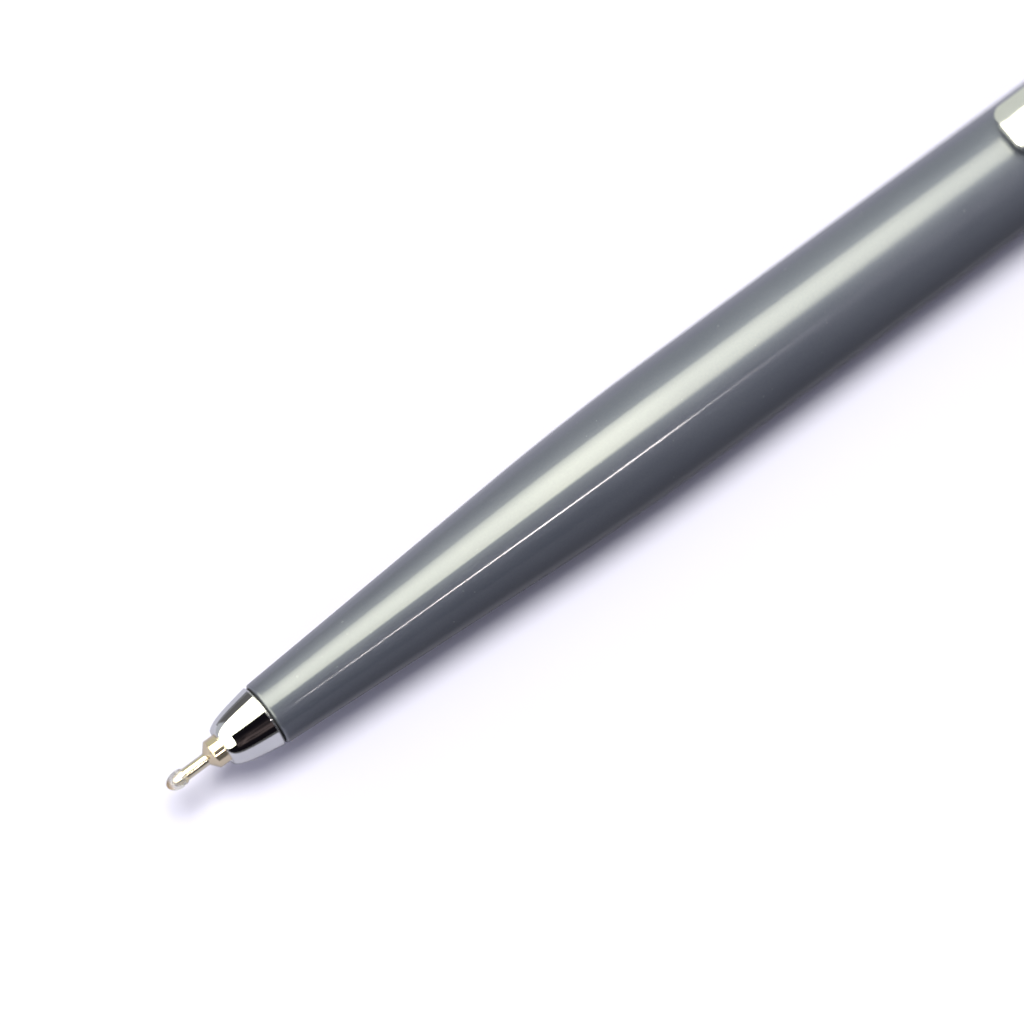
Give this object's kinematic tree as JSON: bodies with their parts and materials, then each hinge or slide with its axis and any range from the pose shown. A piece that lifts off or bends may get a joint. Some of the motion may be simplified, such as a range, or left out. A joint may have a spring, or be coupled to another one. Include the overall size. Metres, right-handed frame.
{
  "type": "retractable technical pen",
  "caption": "Slim retractable needle-point pen: tapered grey lacquered barrel, chrome nose cone, pocket clip and push button with a heart-cam latch.",
  "frame": {"origin": "on the pen's axis, in the middle of the straight part of the barrel in front of the clip", "axes": "+X along the pen's axis from the point to the button, +Z from the axis through the clip, +Y completes the right-handed frame"},
  "size_m": [0.137, 0.0102, 0.0123],
  "materials": {
    "lacquer_grey": "gloss lacquer on drawn brass tube, cool grey",
    "chrome_polished": "mirror polished",
    "chrome_clip": "polished spring steel, chromed",
    "brass_point": "turned, bright",
    "brass_turned": "turned, satin",
    "steel_needle": "drawn tube, bright",
    "carbide": "ground",
    "clear_seal": "clear, glossy, slightly wavy",
    "refill_plastic": "natural, translucent",
    "guide_plastic": "natural acetal",
    "ink": "black ink",
    "grease": "clear grease",
    "spring_steel": "drawn wire, bright"
  },
  "bodies": {
    "pen_body": {"barrel": "lacquer_grey", "front_thread_bush": "brass_turned", "rear_thread_bush": "brass_turned", "mechanism_body": "brass_turned", "stop_ring": "spring_steel", "latch_wire": "spring_steel", "button_bush": "guide_plastic", "clip_band": "chrome_polished", "tail_sleeve": "chrome_polished", "return_spring": "spring_steel"},
    "nose": {"nose_cone": "chrome_polished"},
    "clip": {"clip": "chrome_clip"},
    "button": {"push_button": "chrome_polished", "cam_plunger": "guide_plastic"},
    "refill": {"refill_tube": "refill_plastic", "refill_end_plug": "guide_plastic", "refill_tip_socket": "brass_point", "needle_tube": "steel_needle", "tip_seal_bead": "clear_seal", "ink_column": "ink", "follower_grease": "grease"},
    "ball": {"writing_ball": "carbide"}
  },
  "joints": [
    {"name": "button_press", "type": "slide", "parent": "pen_body", "child": "button", "axis": [-1, 0, 0], "range_m": [-0.005, 0.001], "deforming": ["latch_wire"]},
    {"name": "refill_feed", "type": "slide", "parent": "pen_body", "child": "refill", "axis": [-1, 0, 0], "range_m": [-0.005, 0.001], "deforming": ["return_spring"]},
    {"name": "ball_roll", "type": "hinge", "parent": "refill", "child": "ball", "pos_m": [-0.06489, 0, 0], "axis": [0, 1, 0], "continuous": true},
    {"name": "clip_flex", "type": "hinge", "parent": "pen_body", "child": "clip", "pos_m": [0.05945, 0, 0.0056], "axis": [0, 1, 0], "range_deg": [0, 4], "stiffness_Nm_per_rad": 1.5},
    {"name": "nose_cone_off", "type": "slide", "parent": "pen_body", "child": "nose", "axis": [-1, 0, 0], "range_m": [0, 0.008]}
  ],
  "couplings": [
    {"joint": "refill_feed", "follows": "button_press", "ratio": 1}
  ]
}
